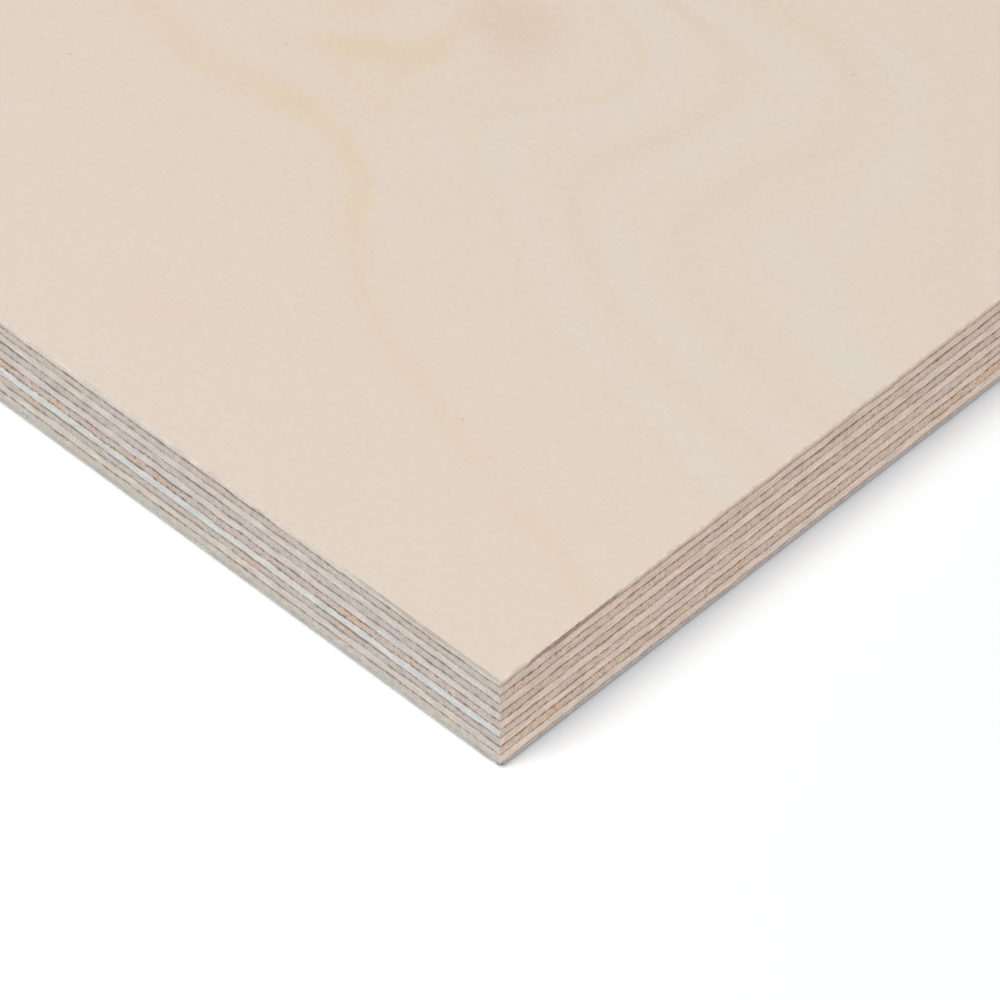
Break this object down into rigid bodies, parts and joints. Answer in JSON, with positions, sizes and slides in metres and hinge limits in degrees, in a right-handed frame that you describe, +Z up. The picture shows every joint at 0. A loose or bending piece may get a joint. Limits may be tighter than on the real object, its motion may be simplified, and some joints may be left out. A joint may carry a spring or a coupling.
{
  "type": "plywood sheet",
  "caption": "Flat sheet of sanded birch plywood, a cut panel of veneers glued with their grain crossed, for shelves, boxes and furniture.",
  "frame": {"origin": "middle of the underside, on the floor that the sheet lies on", "axes": "+X along the length and the face grain, +Y across the width, +Z up through the veneers to the face"},
  "size_m": [0.6, 0.4, 0.015],
  "materials": {
    "face_birch": "sanded birch veneer, unsealed, matt",
    "long_birch": "sawn birch veneer, grain along the length, matt",
    "cross_birch": "sawn birch veneer, grain across the length, matt"
  },
  "bodies": {
    "root": {"face_veneer": "face_birch", "cross_ply_02": "cross_birch", "long_ply_03": "long_birch", "cross_ply_04": "cross_birch", "long_ply_05": "long_birch", "cross_ply_06": "cross_birch", "long_ply_07": "long_birch", "cross_ply_08": "cross_birch", "long_ply_09": "long_birch", "cross_ply_10": "cross_birch", "back_veneer": "face_birch"}
  },
  "joints": []
}
